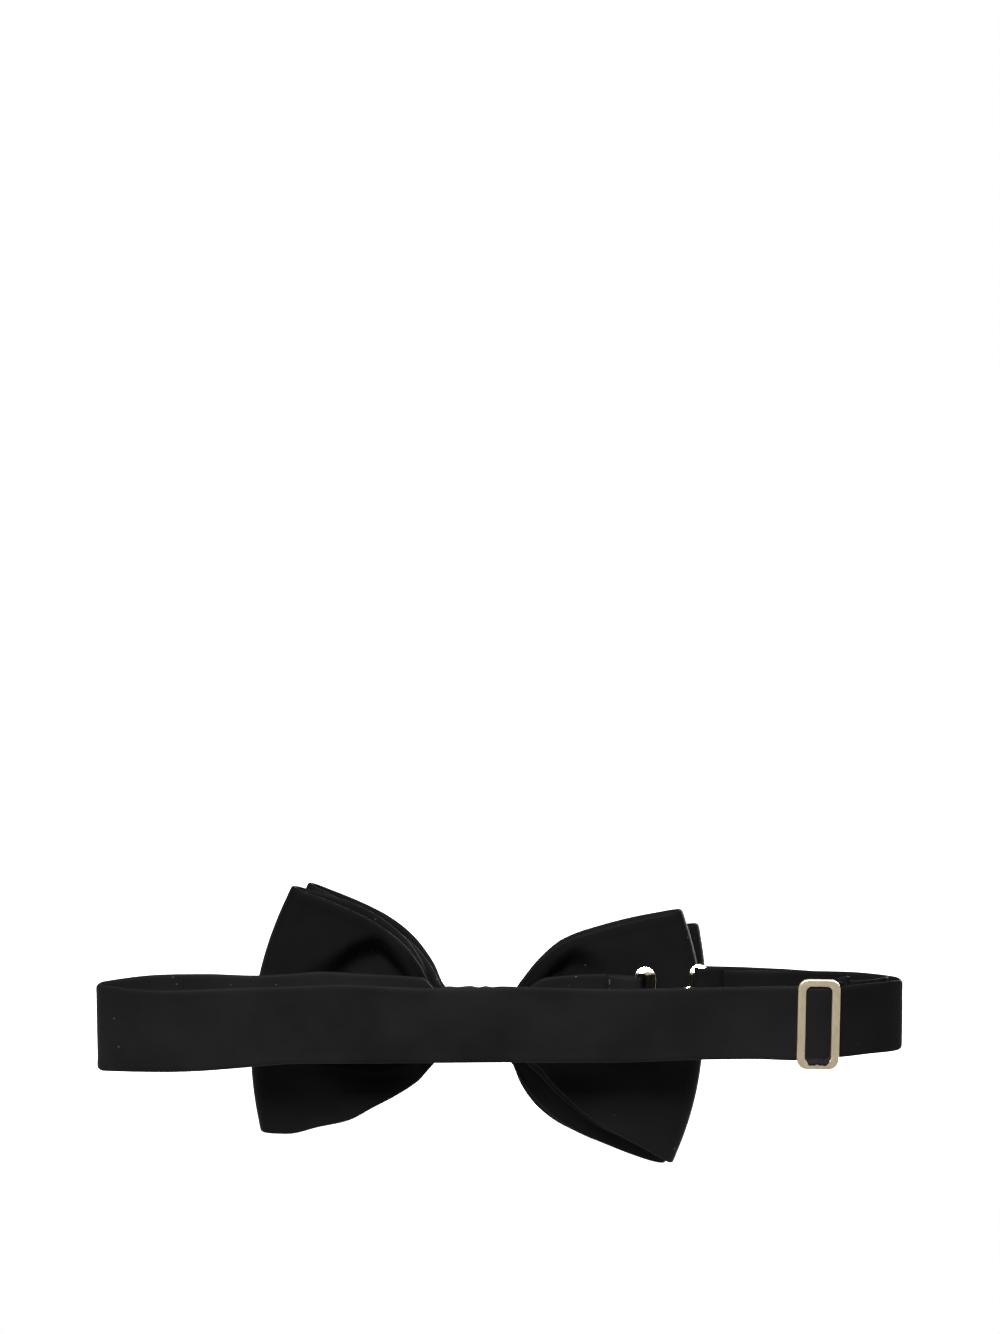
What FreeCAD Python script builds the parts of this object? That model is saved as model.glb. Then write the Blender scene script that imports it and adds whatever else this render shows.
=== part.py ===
"""A pre-tied bow tie on an adjustable neck strap, fastened by a hook and eye.

Millimetres, upright as worn. X runs along the bow, +Z is up, and the front of the bow faces -Y. The
origin is on the flat back of the knot, where the tie lies against the collar. Every strap stands on
edge, so it is drawn in plan as a line of points with headings and then raised to its width.
"""

import FreeCAD
import Part
import math
import os

V = FreeCAD.Vector

# Straps
STRAP_WIDTH = 22.0
CLOTH = 1.2                # thickness of a strap or wing: satin folded over interlining
SATIN = 0.3                # satin wall on each side of the interlining
SLACK = 0.05               # room round the interlining
HEM = 1.0                  # satin turned in along each edge and closed end
PLY_GAP = 0.2              # between two plies that lie on each other
FRONT_Y = -1.8             # middle of the strap behind the bow
REAR_Y = 16.7              # middle of the strap at the back of the neck

# Folds at the two ends of the loop
LEFT_TIP_X = 110.7
LEFT_FOLD_LENGTH = 23.5
LEFT_FOLD_SLOPE = 30.0
RIGHT_TIP_X = -123.45
RIGHT_FOLD_LENGTH = 17.5
RIGHT_FOLD_SLOPE = 45.0
FOLD_RADIUS = 3.0
INNER_TIP_X = -119.3
INNER_FOLD_RADIUS = 1.4

# Wire and strap bars that a strap is wrapped round
WIRE_RADIUS = 0.65
WRAP_RADIUS = WIRE_RADIUS + PLY_GAP + CLOTH / 2
BAR_Y = FRONT_Y + WRAP_RADIUS
RETURN_Y = FRONT_Y + 2 * WRAP_RADIUS

# Clasp hook
HARDWARE_HEIGHT = 26.4
HOOK_BAR_X = -46.1
HOOK_FRAME_LEFT = -51.6
HOOK_FRAME_RIGHT = -45.4
HOOK_SLOT_LEFT = -49.4
HOOK_SLOT_RIGHT = -46.75
HOOK_SLOT_HALF_HEIGHT = 12.0
HOOK_PLATE = 1.2
HOOK_EDGE_ROUND = 0.4
TONGUE_THICKNESS = 1.0
TONGUE_WIDTH = 6.0
TONGUE_ROOT_X = -50.5
TONGUE_CRANK_X = -53.4
TONGUE_BEND_X = -57.3
TONGUE_NIB_X = -54.3
TONGUE_THROAT = 3.0        # middle of one leg of the tongue to the middle of the other

# Clasp eye
EYE_BAR_X = -65.0
EYE_INNER_BAR_X = -61.8
EYE_CATCH_X = -57.05
EYE_CATCH_HALF_HEIGHT = 6.6
EYE_CATCH_CORNER = 1.5

# Hook end of the strap
TURN_BACK_END_X = -37.5
TURN_BACK_RISE_X = -43.5
HOOK_STITCH_X = -38.6

# Adjuster slide
SLIDE_X = -98.65
SLIDE_WIDTH = 12.3
SLIDE_HEIGHT = 26.3
SLIDE_PLATE = 1.2
SLIDE_RAIL = 2.4
SLIDE_END_RAIL = 2.1
SLIDE_CORNER = 3.0
SLIDE_WINDOW_CORNER = 1.4
SLIDE_LEAN = 0.7
SLIDE_BAR_RADIUS = 0.8
SLIDE_POST_HEIGHT = 11.95
SLIDE_POST_RADIUS = 0.65
TAIL_WIDTH = 20.5
TAIL_WRAP_RADIUS = SLIDE_BAR_RADIUS + PLY_GAP + CLOTH / 2
TAIL_OUTER_Y = REAR_Y - CLOTH - PLY_GAP
TAIL_INNER_Y = TAIL_OUTER_Y - 2 * TAIL_WRAP_RADIUS
TAIL_END_X = -104.9
TAIL_STITCH_X = (-102.4, -103.7)

# Bow
WING_REACH = 66.2          # from the middle of the knot to the furthest point of a wing
WING_HALF_HEIGHT = 37.6
WING_CORNER_X = 59.6
WING_SHOULDER = (29.8, 27.8)
WAIST_REACH = 14.0
WAIST_HALF_HEIGHT = 7.9
WAIST_PLY = 1.7            # back ply to front ply where the bow is pinched
REAR_BOW = {
    "back_y": -3.7,        # middle of the back ply in the knot
    "back_drop": 2.0,      # how far forward that ply stands where the wing is fullest
    "tip_drop": 6.0,       # and how far forward the wing's end stands
    "puff": 6.2,           # back ply to front ply where the wing is fullest
    "middle": (0.0, -4.2),
    "tilt": -4.0,
}
FRONT_BOW = {
    "back_y": REAR_BOW["back_y"] - 3.3,
    "back_drop": 8.6,
    "tip_drop": 10.6,
    "puff": 7.0,
    "middle": (-2.0, -5.2),
    "tilt": -7.0,
}
PINCH_X = 8.5
PUFF_X = 38.0
TIP_X = 65.0
TIP_RADIUS = 1.8

# Knot
KNOT_HALF_WIDTH = 11.2
KNOT_TOP = 7.6
KNOT_BOTTOM = -15.6
KNOT_FRONT_Y = -15.6
KNOT_CORNER = 3.2
KNOT_BACK_CHAMFER = 1.0
KNOT_WALL = 1.0
KNOT_BARREL = 1.6          # how far the knot's sides draw in at its two ends
KNOT_SEAM_X = 5.0
KNOT_SEAM_WIDTH = 1.6
KNOT_SEAM_DEPTH = 0.5
KNOT_SEAM_INSET = 2.0
BINDING_THREAD = 0.4
BINDING_HALF_WIDTH = 4.0
BINDING_ROOM = 1.4
BINDING_BACK_Y = -2.6
BINDING_FRONT_Y = -9.8
STRAP_PINCH_TOP = 5.5
STRAP_PINCH_X = 11.2
STRAP_FULL_X = 16.5

# Thread
STITCH_WIDTH = 0.4
STITCH_RISE = 0.25
STITCH_LENGTH = 1.6
STITCH_PITCH = 2.7

FAR = 60.0                 # beyond any face that a cutter has to pass


def heading(degrees):
    return V(math.cos(math.radians(degrees)), math.sin(math.radians(degrees)), 0)


def left_of(direction):
    return V(-direction.y, direction.x, 0)


def meeting_point(start, leaving, end, arriving):
    """Where two arcs meet that leave start along one heading and reach end along another."""
    across = end - start
    both = leaving + arriving
    apart = 2 * (1 - leaving.dot(arriving))
    along = across.dot(both)
    if apart < 1e-9:
        reach = across.dot(across) / (4 * across.dot(arriving))
    else:
        reach = (-along + math.sqrt(along * along + apart * across.dot(across))) / apart
    return (start + leaving * reach + end - arriving * reach) * 0.5


def offset_pair(start, leaving, end, half):
    """The left and right edges of one stretch that leaves start along a heading and reaches end."""
    normal = left_of(leaving)
    across = end - start
    lean = across.dot(normal)
    if abs(lean) < 1e-7:
        edges = [
            Part.makeLine(start + normal * s, end + normal * s) for s in (half, -half)
        ]
        return edges, leaving
    radius = across.dot(across) / (2 * lean)
    centre = start + normal * radius
    arriving = leaving * -1 + across * (2 * across.dot(leaving) / across.dot(across))
    edges = []
    for s in (half, -half):
        a = start + normal * s
        b = end + left_of(arriving) * s
        middle = (a - centre) + (b - centre)
        middle.normalize()
        bow = 1 if across.dot(leaving) > 0 else -1
        c = centre + middle * (bow * (a - centre).Length)
        edges.append(Part.Arc(a, c, b).toShape())
    return edges, arriving


def ribbon(nodes, thickness, low, high):
    """A strip of cloth on edge: nodes are (x, y, heading) in plan, and it stands from low to high."""
    half = thickness / 2
    left, right = [], []
    for (x0, y0, h0), (x1, y1, h1) in zip(nodes, nodes[1:]):
        start, end = V(x0, y0, 0), V(x1, y1, 0)
        leaving, arriving = heading(h0), heading(h1)
        middle = meeting_point(start, leaving, end, arriving)
        for a, b in ((start, middle), (middle, end)):
            (l, r), leaving = offset_pair(a, leaving, b, half)
            left.append(l)
            right.append(r)
    first, last = nodes[0], nodes[-1]
    caps = []
    for x, y, h in (first, last):
        side = left_of(heading(h)) * half
        caps.append(Part.makeLine(V(x, y, 0) + side, V(x, y, 0) - side))
    wire = Part.Wire(Part.__sortEdges__(left + right + caps))
    solid = Part.Face(wire).extrude(V(0, 0, high - low))
    solid.translate(V(0, 0, low))
    return solid


def drawn_in(nodes, by):
    """The same run of strap, shorter by a length at each end."""
    (x0, y0, h0), (x1, y1, h1) = nodes[0], nodes[-1]
    a = V(x0, y0, 0) + heading(h0) * by
    b = V(x1, y1, 0) - heading(h1) * by
    return [(a.x, a.y, h0)] + nodes[1:-1] + [(b.x, b.y, h1)]


def lowered(solid, by):
    copy = solid.copy()
    copy.translate(V(0, 0, -by))
    return copy


def lined_strap(nodes, notch=None):
    """A strap's satin, hollow, and the interlining that fills it; a notch is taken out of its top."""
    half = STRAP_WIDTH / 2
    outer = ribbon(nodes, CLOTH, -half, half)
    inner_half = half - HEM
    hollow = ribbon(drawn_in(nodes, HEM), CLOTH - 2 * SATIN, -inner_half, inner_half)
    lining_half = inner_half - SLACK
    lining = ribbon(
        drawn_in(nodes, HEM + SLACK), CLOTH - 2 * SATIN - 2 * SLACK, -lining_half, lining_half
    )
    if notch:
        outer = outer.cut(notch)
        hollow = hollow.cut(lowered(notch, HEM))
        lining = lining.cut(lowered(notch, HEM + SLACK))
    return outer.cut(hollow), lining


def fold_nodes(side, tip_x, length, slope, radius, near_y, far_y):
    """A pinched turn from the ply at near_y round to the ply at far_y; side is +1 towards +X."""
    middle = (near_y + far_y) / 2
    turn = 1 if far_y > near_y else -1
    rise = radius * math.cos(math.radians(slope))
    inset = radius * (1 - math.sin(math.radians(slope)))
    base_x = tip_x - side * length
    out, back = (0, 180) if side > 0 else (180, 360)
    lean = turn * side
    shoulder_x = tip_x - side * inset
    return [
        (base_x, near_y, out),
        (shoulder_x, middle - turn * rise, out + lean * slope),
        (tip_x, middle, out + lean * 90),
        (shoulder_x, middle + turn * rise, out + lean * (180 - slope)),
        (base_x, far_y, back if lean > 0 else out - 180),
    ]


def slab(x0, x1, y0, y1, z0, z1):
    return Part.makeBox(x1 - x0, y1 - y0, z1 - z0, V(x0, y0, z0))


def upright_plate(x0, x1, z0, z1, corner, y0, thickness):
    """A flat plate that faces Y, with rounded corners."""
    a, b = x0 + corner, x1 - corner
    c, d = z0 + corner, z1 - corner
    far = corner * math.sqrt(0.5)
    edges = []
    if b - a > 1e-6:
        edges += [Part.makeLine(V(a, y0, z0), V(b, y0, z0)), Part.makeLine(V(b, y0, z1), V(a, y0, z1))]
    if d - c > 1e-6:
        edges += [Part.makeLine(V(x1, y0, c), V(x1, y0, d)), Part.makeLine(V(x0, y0, d), V(x0, y0, c))]
    for cx, cz, sx, sz in ((b, c, 1, -1), (b, d, 1, 1), (a, d, -1, 1), (a, c, -1, -1)):
        edges.append(
            Part.Arc(
                V(cx + sx * corner, y0, cz),
                V(cx + sx * far, y0, cz + sz * far),
                V(cx, y0, cz + sz * corner),
            ).toShape()
        )
    wire = Part.Wire(Part.__sortEdges__(edges))
    return Part.Face(wire).extrude(V(0, thickness, 0))


def stitch_row(x, y, half_height, rise):
    """A row of stitches up a strap at one x, lying on the face at y."""
    count = int(2 * half_height / STITCH_PITCH) + 1
    first = -(count - 1) / 2 * STITCH_PITCH
    low, high = min(y, y + rise), max(y, y + rise)
    return [
        slab(
            x - STITCH_WIDTH / 2,
            x + STITCH_WIDTH / 2,
            low,
            high,
            first + i * STITCH_PITCH - STITCH_LENGTH / 2,
            first + i * STITCH_PITCH + STITCH_LENGTH / 2,
        )
        for i in range(count)
    ]


def front_strap_nodes():
    """From the stitched end, round the hook's bar and behind the knot to the left fold."""
    return [
        (TURN_BACK_END_X, FRONT_Y + CLOTH + PLY_GAP, 180),
        (TURN_BACK_RISE_X, RETURN_Y, 180),
        (HOOK_BAR_X, RETURN_Y, 180),
        (HOOK_BAR_X, FRONT_Y, 360),
        (LEFT_TIP_X - LEFT_FOLD_LENGTH - PLY_GAP, FRONT_Y, 0),
    ]


def knot_pinch():
    """The strap's top edge is drawn down where it goes through the knot."""
    top = STRAP_WIDTH / 2 + PLY_GAP
    points = [
        V(-STRAP_FULL_X, -FAR, top),
        V(-STRAP_PINCH_X, -FAR, STRAP_PINCH_TOP),
        V(STRAP_PINCH_X, -FAR, STRAP_PINCH_TOP),
        V(STRAP_FULL_X, -FAR, top),
        V(-STRAP_FULL_X, -FAR, top),
    ]
    return Part.Face(Part.makePolygon(points)).extrude(V(0, 2 * FAR, 0))


def front_strap():
    return lined_strap(front_strap_nodes(), knot_pinch())


def left_fold():
    nodes = fold_nodes(
        1, LEFT_TIP_X, LEFT_FOLD_LENGTH, LEFT_FOLD_SLOPE, FOLD_RADIUS, FRONT_Y, REAR_Y
    )
    return ribbon(nodes, CLOTH, -STRAP_WIDTH / 2, STRAP_WIDTH / 2)


def rear_strap():
    nodes = [
        (LEFT_TIP_X - LEFT_FOLD_LENGTH - PLY_GAP, REAR_Y, 180),
        (RIGHT_TIP_X + RIGHT_FOLD_LENGTH + PLY_GAP, REAR_Y, 180),
    ]
    return lined_strap(nodes)


def right_fold():
    nodes = fold_nodes(
        -1, RIGHT_TIP_X, RIGHT_FOLD_LENGTH, RIGHT_FOLD_SLOPE, FOLD_RADIUS, REAR_Y, FRONT_Y
    )
    return ribbon(nodes, CLOTH, -STRAP_WIDTH / 2, STRAP_WIDTH / 2)


def right_fold_inner():
    base_x = RIGHT_TIP_X + RIGHT_FOLD_LENGTH
    nodes = fold_nodes(
        -1,
        INNER_TIP_X,
        base_x - INNER_TIP_X,
        RIGHT_FOLD_SLOPE,
        INNER_FOLD_RADIUS,
        TAIL_INNER_Y,
        RETURN_Y,
    )
    return ribbon(nodes, CLOTH, -TAIL_WIDTH / 2, TAIL_WIDTH / 2)


def eye_strap():
    """Both plies of the clasp end: out to the eye's bar, round it and back."""
    start_x = RIGHT_TIP_X + RIGHT_FOLD_LENGTH + PLY_GAP
    nodes = [
        (start_x, FRONT_Y, 0),
        (EYE_BAR_X, FRONT_Y, 0),
        (EYE_BAR_X, RETURN_Y, 180),
        (start_x, RETURN_Y, 180),
    ]
    return lined_strap(nodes)


def slide_tail():
    """The strap's sewn end, wrapped round the slide's middle bar."""
    nodes = [
        (TAIL_END_X, TAIL_OUTER_Y, 0),
        (SLIDE_X, TAIL_OUTER_Y, 0),
        (SLIDE_X, TAIL_INNER_Y, -180),
        (TAIL_END_X, TAIL_INNER_Y, 180),
    ]
    return ribbon(nodes, CLOTH, -TAIL_WIDTH / 2, TAIL_WIDTH / 2)


def adjuster_slide():
    """A flat frame outside the strap, with its middle bar set back behind the strap on two posts."""
    face_y = REAR_Y + CLOTH / 2 + PLY_GAP
    half_width, half_height = SLIDE_WIDTH / 2, SLIDE_HEIGHT / 2
    frame = upright_plate(
        SLIDE_X - half_width,
        SLIDE_X + half_width,
        -half_height,
        half_height,
        SLIDE_CORNER,
        face_y,
        SLIDE_PLATE,
    )
    window = upright_plate(
        SLIDE_X - half_width + SLIDE_RAIL,
        SLIDE_X + half_width - SLIDE_RAIL,
        -half_height + SLIDE_END_RAIL,
        half_height - SLIDE_END_RAIL,
        SLIDE_WINDOW_CORNER,
        face_y - 1,
        SLIDE_PLATE + 2,
    )
    bar_y = TAIL_OUTER_Y - TAIL_WRAP_RADIUS
    bar = Part.makeCylinder(
        SLIDE_BAR_RADIUS, 2 * SLIDE_POST_HEIGHT, V(SLIDE_X, bar_y, -SLIDE_POST_HEIGHT), V(0, 0, 1)
    )
    slide = frame.cut(window).fuse(bar)
    for z in (-SLIDE_POST_HEIGHT, SLIDE_POST_HEIGHT):
        post = Part.makeCylinder(
            SLIDE_POST_RADIUS,
            face_y + SLIDE_PLATE / 2 - bar_y,
            V(SLIDE_X, bar_y, z),
            V(0, 1, 0),
        )
        ball = Part.makeSphere(SLIDE_BAR_RADIUS, V(SLIDE_X, bar_y, z))
        slide = slide.fuse(post).fuse(ball)
    slide = slide.removeSplitter()
    slide.rotate(V(SLIDE_X, 0, 0), V(0, 1, 0), SLIDE_LEAN)
    return slide


def clasp_hook():
    """A slotted frame with a tongue bent back over itself."""
    plate_y = BAR_Y - HOOK_PLATE / 2
    half = HARDWARE_HEIGHT / 2
    frame_corner = (HOOK_FRAME_RIGHT - HOOK_FRAME_LEFT) / 2
    frame = upright_plate(
        HOOK_FRAME_LEFT, HOOK_FRAME_RIGHT, -half, half, frame_corner, plate_y, HOOK_PLATE
    )
    slot_corner = (HOOK_SLOT_RIGHT - HOOK_SLOT_LEFT) / 2
    slot = upright_plate(
        HOOK_SLOT_LEFT,
        HOOK_SLOT_RIGHT,
        -HOOK_SLOT_HALF_HEIGHT,
        HOOK_SLOT_HALF_HEIGHT,
        slot_corner,
        plate_y - 1,
        HOOK_PLATE + 2,
    )
    frame = frame.cut(slot)
    faces_y = (plate_y, plate_y + HOOK_PLATE)
    rims = [
        edge
        for edge in frame.Edges
        if any(all(abs(v.Y - y) < 1e-6 for v in edge.Vertexes) for y in faces_y)
    ]
    frame = frame.makeFillet(HOOK_EDGE_ROUND, rims)
    lower, upper = BAR_Y - TONGUE_THROAT / 2, BAR_Y + TONGUE_THROAT / 2
    nodes = [
        (TONGUE_ROOT_X, BAR_Y, 180),
        (TONGUE_CRANK_X, lower, 180),
        (TONGUE_BEND_X, lower, 180),
        (TONGUE_BEND_X, upper, 0),
        (TONGUE_NIB_X, upper, 0),
    ]
    tongue = ribbon(nodes, TONGUE_THICKNESS, -TONGUE_WIDTH / 2, TONGUE_WIDTH / 2)
    return frame.fuse(tongue).removeSplitter()


def wire_along(edges, at, direction):
    path = Part.Wire(edges)
    section = Part.Wire(Part.makeCircle(WIRE_RADIUS, at, direction))
    return path.makePipeShell([section], True, False)


def clasp_eye():
    """A wire ring for the strap with a square catch loop that the hook goes through."""
    middle_x = (EYE_BAR_X + EYE_INNER_BAR_X) / 2
    turn = (EYE_INNER_BAR_X - EYE_BAR_X) / 2
    top = HARDWARE_HEIGHT / 2 - WIRE_RADIUS
    z = top - turn
    ring_path = [
        Part.makeLine(V(EYE_BAR_X, BAR_Y, -z), V(EYE_BAR_X, BAR_Y, z)),
        Part.Arc(V(EYE_BAR_X, BAR_Y, z), V(middle_x, BAR_Y, top), V(EYE_INNER_BAR_X, BAR_Y, z)).toShape(),
        Part.makeLine(V(EYE_INNER_BAR_X, BAR_Y, z), V(EYE_INNER_BAR_X, BAR_Y, -z)),
        Part.Arc(V(EYE_INNER_BAR_X, BAR_Y, -z), V(middle_x, BAR_Y, -top), V(EYE_BAR_X, BAR_Y, -z)).toShape(),
    ]
    ring = wire_along(ring_path, V(EYE_BAR_X, BAR_Y, -z), V(0, 0, 1))
    h, r, x = EYE_CATCH_HALF_HEIGHT, EYE_CATCH_CORNER, EYE_CATCH_X
    far = r * (1 - math.sqrt(0.5))
    catch_path = [
        Part.makeLine(V(EYE_INNER_BAR_X, BAR_Y, h), V(x - r, BAR_Y, h)),
        Part.Arc(V(x - r, BAR_Y, h), V(x - far, BAR_Y, h - far), V(x, BAR_Y, h - r)).toShape(),
        Part.makeLine(V(x, BAR_Y, h - r), V(x, BAR_Y, r - h)),
        Part.Arc(V(x, BAR_Y, r - h), V(x - far, BAR_Y, far - h), V(x - r, BAR_Y, -h)).toShape(),
        Part.makeLine(V(x - r, BAR_Y, -h), V(EYE_INNER_BAR_X, BAR_Y, -h)),
    ]
    catch = wire_along(catch_path, V(EYE_INNER_BAR_X, BAR_Y, h), V(1, 0, 0))
    return Part.makeSolid(ring).fuse(Part.makeSolid(catch)).removeSplitter()


def bow_outline(middle, tilt, inset):
    """The bow's front view, cut to a solid that runs from front to back."""
    reach, tall = WING_REACH - inset, WING_HALF_HEIGHT - inset
    corner, waist = WING_CORNER_X - inset, WAIST_HALF_HEIGHT - inset
    shoulder_x, shoulder_z = WING_SHOULDER[0] + inset / 2, WING_SHOULDER[1] - inset
    edges = []
    for s in (1, -1):
        for t in (1, -1):
            edges.append(
                Part.Arc(
                    V(s * WAIST_REACH, 0, t * waist),
                    V(s * shoulder_x, 0, t * shoulder_z),
                    V(s * corner, 0, t * tall),
                ).toShape()
            )
        edges.append(Part.Arc(V(s * corner, 0, tall), V(s * reach, 0, 0), V(s * corner, 0, -tall)).toShape())
    for t in (1, -1):
        edges.append(Part.makeLine(V(-WAIST_REACH, 0, t * waist), V(WAIST_REACH, 0, t * waist)))
    face = Part.Face(Part.Wire(Part.__sortEdges__(edges)))
    face.translate(V(0, -FAR, 0))
    solid = face.extrude(V(0, 2 * FAR, 0))
    solid.rotate(V(0, 0, 0), V(0, 1, 0), tilt)
    solid.translate(V(middle[0], 0, middle[1]))
    return solid


def wing_nodes(back_y, back_drop, tip_drop, puff):
    """Half a bow in plan, from the middle of its back ply round the wing's end to its front ply."""
    front_y = back_y - WAIST_PLY
    tip_y = back_y - tip_drop
    return [
        (0, back_y, 0),
        (PINCH_X, back_y, 0),
        (PUFF_X, back_y - back_drop, -1),
        (TIP_X - TIP_RADIUS, tip_y + TIP_RADIUS, -8),
        (TIP_X, tip_y, -90),
        (TIP_X - TIP_RADIUS, tip_y - TIP_RADIUS, -172),
        (PUFF_X, back_y - back_drop - puff, -181),
        (PINCH_X, front_y, -180),
        (0, front_y, -180),
    ]


def bow(back_y, back_drop, tip_drop, puff, middle, tilt):
    """One bow: a flattened loop of lined satin, cut to its outline."""
    nodes = wing_nodes(back_y, back_drop, tip_drop, puff)

    def both_wings(thickness, inset):
        wing = ribbon(nodes, thickness, -FAR, FAR)
        other = wing.mirror(V(0, 0, 0), V(1, 0, 0))
        loop = wing.fuse(other).removeSplitter()
        loop.translate(V(middle[0], 0, 0))
        return loop.common(bow_outline(middle, tilt, inset))

    satin = both_wings(CLOTH, 0).cut(both_wings(CLOTH - 2 * SATIN, HEM))
    lining = both_wings(CLOTH - 2 * SATIN - 2 * SLACK, HEM + SLACK)
    return satin, lining


def knot_block(grow):
    """The knot's outer form, or its hollow when grow is negative: flat at the back, round in front."""
    top, bottom = KNOT_TOP + grow, KNOT_BOTTOM - grow
    back, front = min(grow, 0), KNOT_FRONT_Y - grow
    shoulder = front + 2 * (KNOT_CORNER + grow)
    cut = KNOT_BACK_CHAMFER
    outline = [
        V(0, shoulder, top),
        V(0, back - cut, top),
        V(0, back, top - cut),
        V(0, back, bottom + cut),
        V(0, back - cut, bottom),
        V(0, shoulder, bottom),
    ]
    edges = [Part.makeLine(a, b) for a, b in zip(outline, outline[1:])]
    edges.append(Part.Arc(outline[-1], V(0, front, (top + bottom) / 2), outline[0]).toShape())
    face = Part.Face(Part.Wire(Part.__sortEdges__(edges)))
    face.translate(V(-KNOT_HALF_WIDTH - HEM, 0, 0))
    return face.extrude(V(2 * (KNOT_HALF_WIDTH + HEM), 0, 0))


def knot_barrel(grow):
    """The knot in plan: square at the back, drawn in towards its ends in front."""
    w, front = KNOT_HALF_WIDTH, KNOT_FRONT_Y - grow
    points = [V(-w, 1, 0), V(w, 1, 0), V(w, front + KNOT_BARREL, 0), V(-w, front + KNOT_BARREL, 0)]
    edges = [Part.makeLine(points[i], points[i - 1]) for i in (0, 1, 2)]
    edges.append(Part.Arc(points[2], V(0, front, 0), points[3]).toShape())
    face = Part.Face(Part.Wire(Part.__sortEdges__(edges)))
    face.translate(V(0, 0, -FAR))
    return face.extrude(V(0, 0, 2 * FAR))


def knot_wrap():
    """The satin band round the middle of the bow, with a sewn seam let into its back."""
    outer = knot_block(0).common(knot_barrel(0))
    hollow = knot_block(-KNOT_WALL).common(knot_barrel(-KNOT_WALL))
    seam = slab(
        KNOT_SEAM_X - KNOT_SEAM_WIDTH / 2,
        KNOT_SEAM_X + KNOT_SEAM_WIDTH / 2,
        -KNOT_SEAM_DEPTH,
        HEM,
        KNOT_BOTTOM + KNOT_SEAM_INSET,
        KNOT_TOP - KNOT_SEAM_INSET,
    )
    return outer.cut(hollow).cut(seam)


def knot_stitches():
    """Hand stitches across the seam at the back of the knot."""
    stitches = []
    z = KNOT_BOTTOM + KNOT_SEAM_INSET + HEM
    while z < KNOT_TOP - KNOT_SEAM_INSET - HEM:
        stitches.append(
            slab(
                KNOT_SEAM_X - KNOT_SEAM_WIDTH / 2 + SLACK,
                KNOT_SEAM_X + KNOT_SEAM_WIDTH / 2 - SLACK,
                -KNOT_SEAM_DEPTH,
                -KNOT_SEAM_DEPTH + STITCH_RISE,
                z,
                z + STITCH_WIDTH,
            )
        )
        z += STITCH_PITCH / 2
    return Part.makeCompound(stitches)


def knot_padding():
    """Wadding between the bound waist and the front of the knot, clear of the knot's drawn-in ends."""
    filling = knot_block(-KNOT_WALL - PLY_GAP)
    filling.translate(V(0, KNOT_BARREL, 0))
    half = KNOT_HALF_WIDTH - HEM
    return filling.common(slab(-half, half, -FAR, BINDING_FRONT_Y - PLY_GAP, -FAR, FAR))


def waist_binding():
    """Thread wound round the pinched waists of both bows."""
    t = BINDING_THREAD
    middle_z = (REAR_BOW["middle"][1] + FRONT_BOW["middle"][1]) / 2
    half = WAIST_HALF_HEIGHT + BINDING_ROOM
    turns = []
    x = -BINDING_HALF_WIDTH
    while x <= BINDING_HALF_WIDTH:
        outer = slab(x, x + t, BINDING_FRONT_Y, BINDING_BACK_Y, middle_z - half - t, middle_z + half + t)
        inner = slab(
            x - t, x + 2 * t, BINDING_FRONT_Y + t, BINDING_BACK_Y - t, middle_z - half, middle_z + half
        )
        turns.append(outer.cut(inner))
        x += 2 * t
    return Part.makeCompound(turns)


def hook_end_stitches():
    face_y = FRONT_Y + CLOTH + PLY_GAP + CLOTH / 2 + PLY_GAP
    return Part.makeCompound(stitch_row(HOOK_STITCH_X, face_y, STRAP_WIDTH / 2 - HEM, STITCH_RISE))


def slide_tail_stitches():
    face_y = TAIL_INNER_Y - CLOTH / 2
    rows = [stitch_row(x, face_y, TAIL_WIDTH / 2 - HEM, -STITCH_RISE) for x in TAIL_STITCH_X]
    return Part.makeCompound([s for row in rows for s in row])


def save(name, shape):
    shape.exportStep(os.path.join("parts", name + ".step"))
    box = shape.BoundBox
    print(
        f"{name:26s} solids {len(shape.Solids):3d} valid {shape.isValid()} volume {shape.Volume:9.1f}"
        f"  x {box.XMin:7.1f} {box.XMax:7.1f}"
        f"  y {box.YMin:6.1f} {box.YMax:6.1f}"
        f"  z {box.ZMin:6.1f} {box.ZMax:6.1f}"
    )


def main():
    os.makedirs("parts", exist_ok=True)
    save("waist_binding", waist_binding())
    save("knot_padding", knot_padding())
    save("knot_wrap", knot_wrap())
    save("knot_stitches", knot_stitches())
    for name, (satin, lining) in (
        ("rear_bow", bow(**REAR_BOW)),
        ("front_bow", bow(**FRONT_BOW)),
        ("front_strap", front_strap()),
        ("rear_strap", rear_strap()),
        ("eye_strap", eye_strap()),
    ):
        save(name, satin)
        save(name + "_interlining", lining)
    save("hook_end_stitches", hook_end_stitches())
    save("left_fold", left_fold())
    save("right_fold", right_fold())
    save("right_fold_inner", right_fold_inner())
    save("slide_tail", slide_tail())
    save("slide_tail_stitches", slide_tail_stitches())
    save("adjuster_slide", adjuster_slide())
    save("clasp_hook", clasp_hook())
    save("clasp_eye", clasp_eye())


main()
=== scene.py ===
"""A black satin bow tie seen from behind: cloth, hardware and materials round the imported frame."""

import math

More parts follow.
